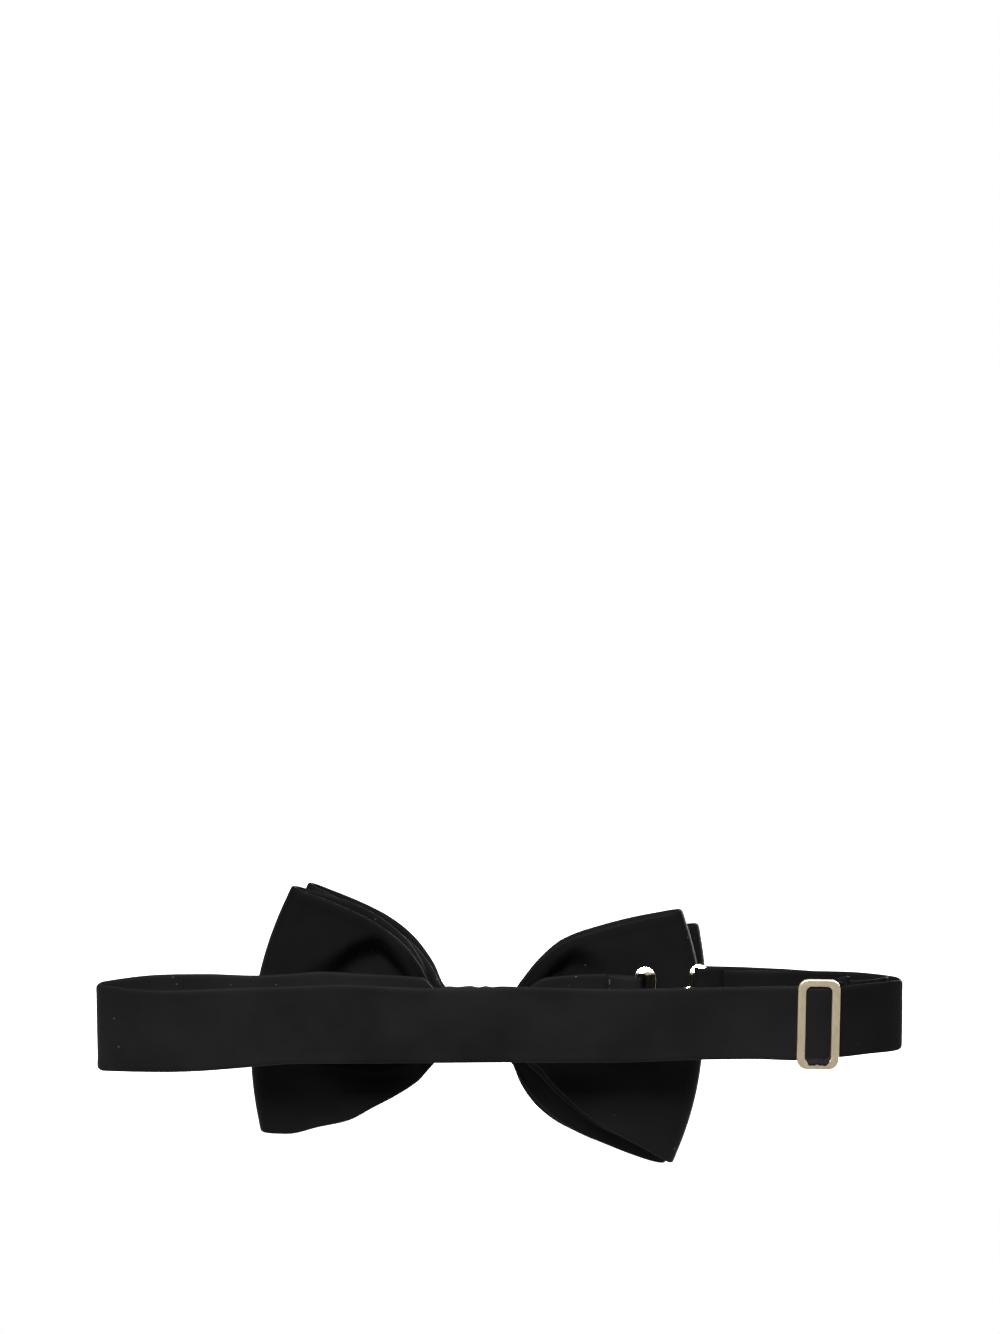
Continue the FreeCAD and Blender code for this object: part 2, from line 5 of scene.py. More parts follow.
import bmesh
import bpy
import numpy as np
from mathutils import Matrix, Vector


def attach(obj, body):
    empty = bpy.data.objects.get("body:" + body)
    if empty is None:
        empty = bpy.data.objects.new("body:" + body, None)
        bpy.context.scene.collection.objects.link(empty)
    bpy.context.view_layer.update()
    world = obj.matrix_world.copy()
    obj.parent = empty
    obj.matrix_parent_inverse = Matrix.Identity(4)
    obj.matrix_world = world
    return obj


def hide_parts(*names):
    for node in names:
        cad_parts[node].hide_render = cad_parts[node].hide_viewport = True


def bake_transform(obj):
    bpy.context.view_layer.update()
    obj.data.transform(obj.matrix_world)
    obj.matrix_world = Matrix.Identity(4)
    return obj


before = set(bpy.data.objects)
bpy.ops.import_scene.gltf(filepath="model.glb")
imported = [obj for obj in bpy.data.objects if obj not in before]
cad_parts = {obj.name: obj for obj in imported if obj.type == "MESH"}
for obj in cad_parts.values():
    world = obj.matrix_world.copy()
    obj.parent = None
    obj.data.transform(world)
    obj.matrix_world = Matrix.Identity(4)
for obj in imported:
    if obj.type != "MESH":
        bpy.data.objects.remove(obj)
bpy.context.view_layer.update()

MM = 0.001                 # every length below is in millimetres; build() makes the meshes in metres
TINY = 1e-12               # keeps a division from meeting zero

# The straps' plan, seen from above, along the middle of the cloth
FRONT_Y = -1.8             # the run behind the bows
REAR_Y = 16.7              # the run across the back of the neck
RETURN_Y = 1.1             # the plies turned back at the clasp
TAIL_Y = 12.2              # the inner ply and the tail, at the slide
BAR_Y = (FRONT_Y + RETURN_Y) / 2
HOOK_BAR_X = -46.1         # where the strap turns back round the hook's bar
EYE_LOOP_X = -65.6         # and round the eye's bar
SLIDE_X = -98.65
LEFT_TIP_X = 111.0         # the ends of the loop
RIGHT_TIP_X = -123.45
INNER_TIP_X = -119.3       # the end of the ply inside it

# Cloth
CLOTH = 1.2
STRAP_EDGE = 0.92          # a strap's thickness at its edges, as a share of CLOTH
STRAP_CROWN = 0.14         # how much thicker it is half way across
BOW_EDGE = 0.9             # a bow's thickness at its edges, as a share of CLOTH
HEM_INSET = 2.4            # how far in from an edge the turned-in satin ends
HEM_BLEND = 0.5            # how gently it ends
HEM_RIDGE = 0.07           # how much it thickens a strap
BOW_HEM_RIDGE = 0.112      # and a bow
ROLL = 0.6                 # how far a rolled edge stands out from the middle of its cloth

# Bows, measured along a wing from the middle of the knot
PARTING = 8.5              # where its two plies start to part
PARTED = 36.0              # where they are furthest apart
WING = 59.0                # where it ends, in round terms
CLOSING = 4.0              # how far before that the two plies turn into each other
PINCHED = 1.7              # how far apart its two plies are in the knot

# Metal
SLIDE_RISE = 0.65          # how much higher the slide sits than the middle of the strap
CLASP_HALF_HEIGHT = 13.2
CLASP_HALF_PLATE = 0.5     # half the thickness of the clasp's plates


# ---------------------------------------------------------------- small helpers


def smooth(edge0, edge1, x):
    """0 before edge0, 1 after edge1, and an even S between them."""
    t = np.clip((np.asarray(x, float) - edge0) / (edge1 - edge0), 0, 1)
    return t * t * (3 - 2 * t)


def hump(x, middle, spread):
    """A bell of height 1 round the middle."""
    return np.exp(-(((np.asarray(x, float) - middle) / spread) ** 2))


def line_through(points):
    """A smooth function through (x, value) points that never swings past them."""
    xs, ys = (np.array(values, float) for values in zip(*sorted(points)))
    slopes = np.diff(ys) / np.diff(xs)
    before, after = slopes[:-1], slopes[1:]
    inner = np.where(before * after > 0, 2 * before * after / (before + after + TINY), 0)
    tangents = np.concatenate([[slopes[0]], inner, [slopes[-1]]])

    def value(x):
        x = np.clip(x, xs[0], xs[-1])
        i = np.clip(np.searchsorted(xs, x, side="right") - 1, 0, len(xs) - 2)
        h = xs[i + 1] - xs[i]
        t = (x - xs[i]) / h
        return (
            ys[i] * (1 + 2 * t) * (1 - t) ** 2
            + tangents[i] * h * t * (1 - t) ** 2
            + ys[i + 1] * t * t * (3 - 2 * t)
            + tangents[i + 1] * h * t * t * (t - 1)
        )

    return value


def build(name, points, faces, uvs=None):
    """A smooth-shaded mesh from points and, for each of them, a pair of uvs, all in millimetres."""
    mesh = bpy.data.meshes.new(name)
    mesh.from_pydata((np.asarray(points) * MM).tolist(), [], faces)
    mesh.update()
    if uvs is not None:
        layer = mesh.uv_layers.new(name="UVMap")
        loops = np.zeros(len(mesh.loops), np.int32)
        mesh.loops.foreach_get("vertex_index", loops)
        layer.data.foreach_set("uv", (np.asarray(uvs)[loops] * MM).astype(np.float32).ravel())
    for polygon in mesh.polygons:
        polygon.use_smooth = True
    obj = bpy.data.objects.new(name, mesh)
    bpy.context.scene.collection.objects.link(obj)
    return obj


def grid(rows, columns, wrap_rows=False, wrap_columns=False):
    """Quads over a grid of points numbered row by row."""
    faces = []
    for i in range(rows if wrap_rows else rows - 1):
        for j in range(columns if wrap_columns else columns - 1):
            below, right = (i + 1) % rows, (j + 1) % columns
            faces.append(
                (i * columns + j, i * columns + right, below * columns + right, below * columns + j)
            )
    return faces


def tube(rows, columns):
    """Faces of a closed tube: rows of points round it, and a cap at each end."""
    ends = [tuple(range(columns))[::-1], tuple((rows - 1) * columns + j for j in range(columns))]
    return grid(rows, columns, wrap_columns=True) + ends


def outward(obj):
    """Turn every face of a closed mesh to face out."""
    work = bmesh.new()
    work.from_mesh(obj.data)
    bmesh.ops.recalc_face_normals(work, faces=work.faces)
    work.to_mesh(obj.data)
    work.free()
    return obj


def lengths_along(points):
    """Distance from the first point to each point of a line."""
    steps = np.linalg.norm(np.diff(points, axis=0), axis=-1)
    return np.concatenate([np.zeros((1,) + steps.shape[1:]), np.cumsum(steps, axis=0)])


# ---------------------------------------------------------------- straps


def heading(degrees):
    """The unit vector at an angle from +X."""
    return np.array([math.cos(math.radians(degrees)), math.sin(math.radians(degrees))])


def plan_line(nodes, step=1.3, turn_step=7.0):
    """Points, left-hand normals and distances along a smooth line through (x, y, heading) nodes, with
    a point about every step millimetres or turn_step degrees, whichever is closer."""
    straight = 0.02  # radians
    points, tangents = [], []
    for (x0, y0, h0), (x1, y1, h1) in zip(nodes, nodes[1:]):
        a, b = np.array([x0, y0]), np.array([x1, y1])
        chord = np.linalg.norm(b - a)
        turn = abs(math.radians(h1 - h0))
        reach = chord / 3
        if turn >= straight:
            reach = chord * 2 / 3 * math.tan(turn / 4) / math.sin(turn / 2)
        p1, p2 = a + heading(h0) * reach, b - heading(h1) * reach
        count = max(2, int(chord / step), int(math.degrees(turn) / turn_step))
        t = np.linspace(0, 1, count + 1)[1 if points else 0:, None]
        s = 1 - t
        points.append(s**3 * a + 3 * s * s * t * p1 + 3 * s * t * t * p2 + t**3 * b)
        tangents.append(s * s * (p1 - a) + 2 * s * t * (p2 - p1) + t * t * (b - p2))
    line, ahead = np.vstack(points), np.vstack(tangents)
    ahead /= np.linalg.norm(ahead, axis=1)[:, None]
    return line, np.column_stack([-ahead[:, 1], ahead[:, 0]]), lengths_along(line)


def strap_section(flat_count=24, edge_count=6):
    """Round a folded strap: the place across (-1 to 1), the side (1 to -1), and how far out the rolled
    edge is (0 to 1)."""
    across, side, roll = [], [], []
    for sign in (1, -1):
        for i in range(flat_count):
            across.append(sign * (1 - 2 * i / (flat_count - 1)))
            side.append(sign)
            roll.append(0.0)
        for i in range(1, edge_count):
            angle = math.pi * i / edge_count
            across.append(-sign)
            side.append(sign * math.cos(angle))
            roll.append(math.sin(angle))
    return np.array(across), np.array(side), np.array(roll)


def hem(inset):
    """1 where the turned-in satin lies along an edge, 0 further in."""
    return smooth(HEM_INSET + HEM_BLEND, HEM_INSET - HEM_BLEND, inset)


def strap_mesh(name, nodes, top, bottom, ripple=0.0, seed=0.0):
    """A folded satin strap on edge along a plan line; top and bottom give its edges' heights from
    (x, distance along), and ripple is how far the cloth wanders out of its plane."""
    line, normals, along = plan_line(nodes)
    across, side, roll = strap_section()
    high, low = top(line[:, 0], along), bottom(line[:, 0], along)
    half, middle = (high - low) / 2, (high + low) / 2
    edge = CLOTH / 2 * STRAP_EDGE
    flat = (half - edge)[:, None] * across + edge * roll * np.sign(across)
    inset = half[:, None] - np.abs(flat)
    ridge = HEM_RIDGE * hem(inset)
    body = side * (edge * (1 + STRAP_CROWN * (1 - across**2)) + ridge)
    wander = ripple * (
        0.8 * np.sin(along / 27.0 + 0.7 * seed)
        + 0.5 * np.sin(along / 11.7 + seed)
        + 0.3 * np.sin(along / 6.1 + 2.1 * seed + 1.3)
    )
    buckle = 0.4 * ripple * np.sin(along[:, None] / 8.3 + 3 * across + seed) * (0.4 + across**2)
    off = body + wander[:, None] + buckle
    points = np.stack(
        [
            line[:, :1] + normals[:, :1] * off,
            line[:, 1:] + normals[:, 1:] * off,
            middle[:, None] + flat,
        ],
        axis=2,
    )
    rows, columns = points.shape[:2]
    girth = lengths_along(np.column_stack([flat[0], side * edge]))
    uvs = np.stack(np.broadcast_arrays(along[:, None], girth[None, :]), axis=2)
    obj = outward(build(name, points.reshape(-1, 3), tube(rows, columns), uvs.reshape(-1, 2)))
    return obj


def fold_nodes(side, tip_x, length, slope, radius, near_y, far_y):
    """The pinched turn at an end of the loop: in along near_y, straight out to the shoulder at a slope,
    round the tip and back along far_y. side is 1 for the left end and -1 for the right."""
    middle = (near_y + far_y) / 2
    turn = 1 if far_y > near_y else -1
    rise = radius * math.cos(math.radians(slope))
    shoulder_x = tip_x - side * radius * (1 - math.sin(math.radians(slope)))
    out = 0 if side > 0 else 180
    lean = turn * side
    return [
        (tip_x - side * length, near_y, out),
        (shoulder_x, middle - turn * rise, out + lean * slope),
        (tip_x, middle, out + lean * 90),
        (shoulder_x, middle + turn * rise, out + lean * (180 - slope)),
        (tip_x - side * length, far_y, out + lean * 180),
    ]


def fold_corner(x, tip_x, radius=1.8, flatten=0.4):
    """How much the strap's edges draw in where it turns at an end of the loop."""
    t = np.clip((np.abs(x) - abs(tip_x) + radius) / radius, 0, 1) * (np.sign(x) == np.sign(tip_x))
    return flatten * radius * (1 - np.sqrt(1 - t * t))


def neck_strap():
    """From the stitched end at the hook, behind the knot, round the left fold and back to the slide."""
    nodes = [
        (-37.5, -0.4, 180),
        (-43.5, RETURN_Y, 180),
        (HOOK_BAR_X, RETURN_Y, 180),
        (HOOK_BAR_X, FRONT_Y, 360),
        (-16.0, FRONT_Y, 360),
        (16.0, FRONT_Y, 360),
    ]
    fold = fold_nodes(1, LEFT_TIP_X, length=23.5, slope=30.0, radius=3.0, near_y=FRONT_Y, far_y=REAR_Y)
    nodes += [(x, y, h + 360) for x, y, h in fold]
    nodes.append((SLIDE_X, REAR_Y, 540))
    front_top = line_through(
        [(-46, 10.9), (-36, 11.5), (-20, 10.4), (-11, 5.4), (0, 4.7), (11, 5.6), (17, 10.4),
         (36, 11.6), (46, 12.1), (56, 11.4), (66, 10.9), (80, 11.4), (95, 11.3), (110, 10.6)]
    )
    rear_top = line_through(
        [(110, 10.6), (96, 10.3), (71, 11.1), (53, 11.7), (40, 12.2), (18, 11.2), (0, 11.2),
         (-9, 11.5), (-41, 10.9), (-63, 11.2), (-92, 11.6), (-99, 11.5)]
    )
    rear_bottom = line_through(
        [(110, -15.1), (104, -14.6), (96, -14.1), (82, -13.6), (71, -12.8), (53, -11.4), (0, -11.0),
         (-41, -10.9), (-63, -10.2), (-80, -10.0), (-92, -10.4), (-99, -10.0)]
    )
    front_bottom = line_through([(-46, -10.9), (0, -11.0), (60, -11.0), (95, -12.9), (110, -15.1)])
    past_tip = 3.0
    turned = lengths_along(plan_line(nodes)[0])[-1] - (LEFT_TIP_X - SLIDE_X) - past_tip

    def top(x, along):
        return np.where(along > turned, rear_top(x), front_top(x)) - fold_corner(x, LEFT_TIP_X)

    def bottom(x, along):
        return np.where(along > turned, rear_bottom(x), front_bottom(x)) + fold_corner(x, LEFT_TIP_X)

    obj = strap_mesh("neck_strap_satin", nodes, top, bottom, ripple=0.16, seed=0.6)
    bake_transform(obj)
    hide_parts("front_strap", "left_fold", "rear_strap")
    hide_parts("front_strap_interlining", "rear_strap_interlining")
    return obj


def clasp_end_strap():
    """From the slide round the right fold to the eye's bar."""
    fold = fold_nodes(
        -1, RIGHT_TIP_X, length=17.5, slope=45.0, radius=3.0, near_y=REAR_Y, far_y=FRONT_Y
    )
    nodes = [(SLIDE_X, REAR_Y, 180), (-107.5, 15.9, 194)] + fold[1:]
    nodes += [(EYE_LOOP_X, FRONT_Y, 360), (EYE_LOOP_X, RETURN_Y, 540), (-72.0, RETURN_Y - 0.6, 540)]
    rise = line_through(
        [(0, 0.7), (8, 1.0), (18, 1.5), (30, 1.4), (48, 1.4), (66, 2.4), (80, 3.0), (90, 3.2)]
    )

    def top(x, along):
        return 10.6 + rise(along) - fold_corner(x, RIGHT_TIP_X)

    def bottom(x, along):
        return -10.4 + rise(along) + fold_corner(x, RIGHT_TIP_X)

    obj = strap_mesh("clasp_end_satin", nodes, top, bottom, ripple=0.1, seed=2.2)
    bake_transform(obj)
    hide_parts("right_fold", "eye_strap", "eye_strap_interlining")
    return obj


def return_ply():
    """The inner ply, from the eye back round the fold to the slide's tail."""
    nodes = [(-70.5, 0.3, 180), (-80.0, RETURN_Y, 180)]
    nodes += fold_nodes(
        -1, INNER_TIP_X, length=13.45, slope=45.0, radius=1.4, near_y=RETURN_Y, far_y=TAIL_Y
    )

    def top(x, along):
        return 12.4 + 0.6 * smooth(60, 20, along)

    def bottom(x, along):
        return np.full_like(x, -8.6)

    obj = strap_mesh("return_ply_satin", nodes, top, bottom, ripple=0.1, seed=4.0)
    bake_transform(obj)
    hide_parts("right_fold_inner")
    return obj


def slide_tail():
    """The sewn end of the strap, wrapped round the slide's middle bar."""
    nodes = [
        (-105.6, 15.25, 0),
        (SLIDE_X, 15.3, 0),
        (SLIDE_X, TAIL_Y, -180),
        (-108.0, TAIL_Y, -180),
    ]

    def top(x, along):
        return 11.2 + 1.4 * smooth(9, 2, along) + 2.4 * smooth(-101, -106, x) * (along > 12)

    def bottom(x, along):
        return np.full_like(x, -9.6)

    obj = strap_mesh("slide_tail_satin", nodes, top, bottom, ripple=0.05, seed=1.0)
    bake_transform(obj)
    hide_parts("slide_tail")
    return obj


def strap_over_bar():
    """The strap where it swells out through the slide's window over the covered bar. Its edges sink into
    the strap, and below it creeps a little over the slide's end rail with an uneven edge."""
    half_z, half_x, window, corner, middle_z = 11.65, 5.2, 3.7, 1.7, -0.05
    least_swell, more_swell, over_rail, sunk = 0.3, 0.75, 1.95, 0.25
    back = REAR_Y + CLOTH / 2 * 1.13 - sunk
    across, places = np.linspace(-1, 1, 60), np.linspace(-1, 1, 30)
    points, uvs = [], []
    for a in places:
        swell = more_swell * (1 - abs(a) ** 2.2) + least_swell
        creep = max(0.0, 1 - abs(a * half_x / window) ** 6) ** 0.5
        turn = min(max(0.0, (abs(a) * half_x - window + corner) / corner), 1.0)
        drawn_up = corner * (1 - math.sqrt(1 - turn**2))
        ragged = 0.14 * math.sin(8 * a + 1) + 0.09 * math.sin(21 * a)
        for c in across:
            edge = (1 - abs(c) ** 40) ** 0.5
            over = (over_rail - swell) * creep * smooth(0.82, 0.93, -c)
            z = middle_z + c * half_z + (ragged + drawn_up) * (1 - c) / 2
            points.append((SLIDE_X + a * half_x, back + (swell + over) * edge, z))
            uvs.append((a * half_x, c * half_z))
    obj = build("strap_over_bar_satin", points, grid(len(places), len(across)), uvs)
    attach(obj, "slide")
    return obj


# ---------------------------------------------------------------- bows


class Wing:
    """Half a bow's outline before the bow is tilted: its edges from the knot to the corners, as
    (out, height), how far the end stands out between the corners, and how far above (+) or below (-)
    that outline the (back, front) plies' edges slip between the knot and the end."""

    def __init__(self, top, bottom, bulge, top_slip=(0, 0), bottom_slip=(0, 0)):
        self.top, self.bottom, self.bulge = line_through(top), line_through(bottom), bulge
        self.top_x, self.bottom_x = top[-1][0], bottom[-1][0]
        self.top_slip, self.bottom_slip = top_slip, bottom_slip

    def outline(self, s, v, ply):
        """The place of (s, v): s from 0 in the knot to 1 at the end, v from -1 below to 1 above."""
        share = (v + 1) / 2
        end_x = self.bottom_x + (self.top_x - self.bottom_x) * share + self.bulge * (1 - v * v)
        loose = smooth(0.12, 0.3, s) * smooth(0.97, 0.6, s)
        high = self.top(s * self.top_x) - ROLL + self.top_slip[ply] * loose
        low = self.bottom(s * self.bottom_x) + ROLL + self.bottom_slip[ply] * loose
        return s * (end_x - ROLL), low + (high - low) * share


class Bow:
    """A flattened loop of lined satin, pinched in the knot: its two wings, its plies and its tilt."""

    def __init__(self, wings, back_y, back_drop, tip_drop, puff, middle, tilt, seed, hollows):
        """The back ply starts at back_y in the knot and leans forward by back_drop, and the end by about
        tip_drop. The plies part by puff. middle is the knot's (x, z), and tilt is in degrees."""
        self.wings, self.back_y, self.back_drop, self.tip_drop = wings, back_y, back_drop, tip_drop
        self.puff, self.middle, self.tilt, self.seed, self.hollows = puff, middle, tilt, seed, hollows

    def place(self, side, ply, s, v):
        """Where (s, v) of a ply lies: side is 1 or -1 in X, ply 0 at the back and 1 in front."""
        x, z = self.wings[side].outline(s, v, ply)
        out = WING * s
        open_up = smooth(PARTING, PARTED, out) * (1 - 0.3 * smooth(42, WING, out))
        further = self.tip_drop - self.puff / 2 - self.back_drop
        drop = self.back_drop * smooth(PARTING, 38, out) + further * smooth(PARTED, WING, out)
        gap = PINCHED + (self.puff - PINCHED) * open_up
        close = np.sqrt(np.clip(1 - np.clip((out - WING + CLOSING) / CLOSING, 0, 1) ** 2, 0, 1))
        back = self.back_y - drop + self.back_relief(side, out, x, z)
        middle = self.back_y - drop - gap / 2
        front = self.back_y - drop - gap
        y = front + self.front_relief(side, out, x, z) if ply else back
        return x, middle + (y - middle) * close, z

    def gathers(self, side, out, x, z):
        """Soft pleats that fan out from the knot."""
        fan = z / np.maximum(self.wings[side].top(np.maximum(x, 9)), 1)
        near = smooth(9, 13, out) * np.exp(-np.maximum(out - 13, 0) / 11.0)
        wide, narrow = np.cos(5.2 * fan + self.seed), np.cos(9.7 * fan + 2 * self.seed + side)
        return near * (0.9 * wide + 0.45 * narrow)

    def slack(self, out):
        """Where a ply is free to wave: between the knot and the end."""
        return smooth(16, PARTED, out) * smooth(WING, 50, out)

    def back_relief(self, side, out, x, z):
        """How the back ply bulges (+) and hollows (-) towards the viewer behind it."""
        slow = 0.4 * np.sin(x / 12.0 + z / 15.0 + self.seed + side) * self.slack(out)
        relief = 0.8 * self.gathers(side, out, x, z) + slow
        for hollow in self.hollows.get(side, ()):
            relief = relief - hollow(x, z)
        return relief

    def front_relief(self, side, out, x, z):
        """How the front ply hollows (+) and bulges (-) towards the viewer in front of it."""
        slow = 0.5 * np.sin(x / 14.0 - z / 13.0 + 2 * self.seed) * self.slack(out)
        crease = 1.1 * hump(z, 4.0 * side, 7.0) * hump(x, 22, 10)
        crease = crease + 0.8 * hump(z, -14, 5) * hump(x, 26, 9)
        pushed = sum(hollow(x, z) for hollow in self.hollows.get(side, ()))
        return -0.9 * self.gathers(side, out, x, -z) + slow + crease - 0.3 * pushed

    def turned(self, points):
        """Tilt in the plane of the bow and move to its middle."""
        angle = math.radians(self.tilt)
        x = points[..., 0] * math.cos(angle) - points[..., 2] * math.sin(angle)
        z = points[..., 0] * math.sin(angle) + points[..., 2] * math.cos(angle)
        return np.stack([x + self.middle[0], points[..., 1], z + self.middle[1]], axis=-1)

    def surface(self, count_s=76, count_v=57):
        """The middle of the cloth all the way round: right back, right front, left front, left back."""
        s = np.linspace(0, 1, count_s)
        s = 0.62 * s + 0.38 * (1 - (1 - s) ** 2.2)
        t = np.linspace(-1, 1, count_v)
        v = 0.5 * t + 0.5 * np.sin(t * math.pi / 2)
        runs = []
        for side, ply, rows in ((1, 0, s), (1, 1, s[-2::-1]), (-1, 1, s[1:]), (-1, 0, s[-2:0:-1])):
            places, heights = np.meshgrid(rows, v, indexing="ij")
            x, y, z = self.place(side, ply, places, heights)
            runs.append(np.stack([side * x, y, z], axis=2))
        return np.concatenate(runs, axis=0)


def bow_mesh(name, form):
    """A closed band of folded satin round the bow's middle surface, its edges rolled and hemmed."""
    surface = form.surface()
    along = np.roll(surface, -1, 0) - np.roll(surface, 1, 0)
    across = np.gradient(surface, axis=1)
    normals = np.cross(along, across)
    normals /= np.maximum(np.linalg.norm(normals, axis=2, keepdims=True), TINY)
    across /= np.maximum(np.linalg.norm(across, axis=2, keepdims=True), TINY)
    girth = np.moveaxis(lengths_along(np.moveaxis(surface, 1, 0)), 0, 1)
    inset = np.minimum(girth, girth[:, -1:] - girth)
    body = CLOTH / 2 * (BOW_EDGE + (1 - BOW_EDGE) * smooth(0, 5, inset)) + BOW_HEM_RIDGE * hem(inset)
    face = surface + normals * body[..., None]
    back = (surface - normals * body[..., None])[:, ::-1]
    angles = np.pi * np.arange(1, 6) / 6
    rims = []
    for j, sign in ((-1, 1), (0, -1)):
        out = across[:, j, None] * np.sin(angles)[None, :, None]
        up = normals[:, j, None] * np.cos(angles)[None, :, None]
        rims.append(surface[:, j, None] + sign * body[:, j, None, None] * (out + up))
    ring = form.turned(np.concatenate([face, rims[0], back, rims[1]], axis=1))
    path = lengths_along(surface[:, surface.shape[1] // 2])
    rim_count = rims[0].shape[1]
    ends = [np.repeat(girth[:, -1:], rim_count, 1), np.zeros((len(girth), rim_count))]
    around = np.concatenate([girth, ends[0], girth[:, ::-1], ends[1]], axis=1)
    uvs = np.stack(np.broadcast_arrays(path[:, None], around), axis=2).reshape(-1, 2)
    rows, columns = ring.shape[:2]
    obj = outward(build(name, ring.reshape(-1, 3), grid(rows, columns, True, True), uvs))
    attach(obj, "bow")
    return obj


def left_hollow(x, z):
    """The deep pocket above the strap in the left wing, under a crest that falls towards the end."""
    crest = line_through(
        [(14, 6), (19, 12), (24.5, 18.5), (31.5, 24.6), (38, 22.5), (45, 16.8), (52, 13), (60, 8)]
    )
    depth = 7.0 * smooth(16, 24, x) * smooth(56, 38, x)
    return depth * smooth(-0.5, 8.0, crest(x) - z) * smooth(-22, 0, z)


def left_lower_hollow(x, z):
    """The shallow pocket below the strap, and a dimple near the lower corner."""
    dimple = 1.6 * hump(x, 46, 7) * hump(z, -30, 8)
    return 2.6 * hump(x, 29, 8) * hump(z, -17, 7) + dimple


def right_hollow(x, z):
    """The smaller pocket above the strap in the right wing."""
    crest = line_through([(12, 8), (17, 15.5), (22, 21.5), (27, 25), (34, 24), (42, 20)])
    depth = 5.0 * smooth(13, 20, x) * smooth(38, 22, x)
    return depth * smooth(-0.5, 6.5, crest(x) - z) * smooth(-8, 6, z)


def right_lower_hollow(x, z):
    """The shallow pocket below the strap in the right wing."""
    return 2.0 * hump(x, 28, 10) * hump(z, -13, 8)


def rear_bow():
    """The bow next to the strap."""
    left = Wing(
        top=[(0, 6.9), (9, 7.4), (14.5, 10.3), (18.5, 17.0), (23.3, 22.6), (30.2, 27.4), (39, 31.6),
             (58, 36.6)],
        bottom=[(0, -7.6), (9, -8.4), (13, -13.2), (17.5, -19.0), (24, -24.1), (30, -27.8),
                (37, -32.2), (46, -35.2), (55, -37.8), (62.5, -38.1)],
        bulge=6.7,
        top_slip=(-1.0, 0.3),
    )
    right = Wing(
        top=[(0, 6.9), (8, 7.4), (11.8, 13.3), (16.2, 19.6), (23.4, 26.2), (34.6, 30.7),
             (45.3, 34.2), (58, 37.6)],
        bottom=[(0, -7.6), (12, -7.9), (18.4, -11.6), (24, -17.4), (35.9, -26.6), (55.3, -36.1),
                (60.9, -39.1)],
        bulge=7.6,
        bottom_slip=(0, -2.4),
    )
    hollows = {1: (left_hollow, left_lower_hollow), -1: (right_hollow, right_lower_hollow)}
    form = Bow(
        {1: left, -1: right}, back_y=-3.7, back_drop=2.0, tip_drop=6.0, puff=6.4,
        middle=(0.0, -4.2), tilt=4.0, seed=0.4, hollows=hollows,
    )
    obj = bow_mesh("rear_bow_satin", form)
    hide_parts("rear_bow", "rear_bow_interlining")
    return obj


def front_bow():
    """The bow in front of the rear one, turned a few degrees more."""
    left = Wing(
        top=[(0, 6.9), (9, 7.2), (14, 10.4), (17.5, 15.7), (25.2, 22.5), (34, 26.7), (57.4, 34.4)],
        bottom=[(0, -7.6), (9, -8.0), (14, -13), (22, -21.5), (32, -28), (45, -33.4), (58, -36.4)],
        bulge=5.6,
        top_slip=(-1.3, 0),
    )
    right = Wing(
        top=[(0, 6.9), (8, 7.2), (12, 10.8), (17, 16.6), (25, 23.0), (36, 28.4), (59.8, 36.2)],
        bottom=[(0, -7.6), (5, -8.0), (9.1, -10.3), (12.9, -16.6), (19.7, -24.5), (27.7, -30.1),
                (39.4, -34.7), (59.2, -37.3)],
        bulge=6.3,
        bottom_slip=(1.7, 0),
    )
    form = Bow(
        {1: left, -1: right}, back_y=-7.0, back_drop=8.6, tip_drop=10.6, puff=6.6,
        middle=(-2.0, -5.2), tilt=7.0, seed=1.9, hollows={},
    )
    obj = bow_mesh("front_bow_satin", form)
    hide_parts("front_bow", "front_bow_interlining")
    return obj


# ---------------------------------------------------------------- knot


def knot():
    """The satin band round the middle: flat at the back, full in front, with long soft pleats."""
    around, across = 140, 60
    half_width, top, bottom, back, front = 11.2, 6.0, -15.6, -0.02, -15.6
    flat_back, full_front = 0.3, 0.62
    satin_depth, girth = 0.9, 64.0
    angles = np.linspace(0, 2 * math.pi, around, endpoint=False)
    turn, place = np.meshgrid(angles, np.linspace(-1, 1, across), indexing="ij")
    cos, sin = np.cos(turn), np.sin(turn)
    power = np.where(cos > 0, flat_back, full_front)
    face = smooth(0.0, -0.75, cos)
    deep, tall = np.sign(cos) * np.abs(cos) ** power, np.sign(sin) * np.abs(sin) ** power
    y = (back + front) / 2 + deep * (back - front) / 2 * (1 - 0.1 * (cos < 0) * place**2)
    z = (top + bottom) / 2 + tall * (top - bottom) / 2 * (1 - 0.055 * face * place**2)
    x = place * half_width * (1 - 0.05 * face * cos**2)
    sink = 0.9 * smooth(0.86, 1.0, np.abs(place)) ** 1.5
    for middle, depth, drift in ((-0.42, 0.45, 0.10), (0.12, 0.6, -0.14), (0.58, 0.35, 0.08)):
        line = middle + drift * np.sin(turn + 3 * middle)
        pleat = hump(place, line, 0.13) - 0.25 * hump(place, line + 0.17, 0.12)
        sink = sink + depth * pleat * smooth(0.2, -0.5, cos)
    y, z = y - sink * cos, z - sink * sin
    outer = np.stack([x, y, z], axis=2)
    inner = np.stack([x * 0.97, y - satin_depth * cos, z - satin_depth * sin], axis=2)[:, ::-1]
    ring = np.concatenate([outer, inner], axis=1)
    u = girth * turn[:, :1] / (2 * math.pi)
    v = np.concatenate([place * half_width, (place * half_width)[:, ::-1]], axis=1)
    uvs = np.stack(np.broadcast_arrays(u, v), axis=2).reshape(-1, 2)
    faces = grid(around, 2 * across, True, True)
    obj = outward(build("knot_wrap_satin", ring.reshape(-1, 3), faces, uvs))
    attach(obj, "bow")
    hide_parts("knot_wrap")
    return obj


# ---------------------------------------------------------------- hardware


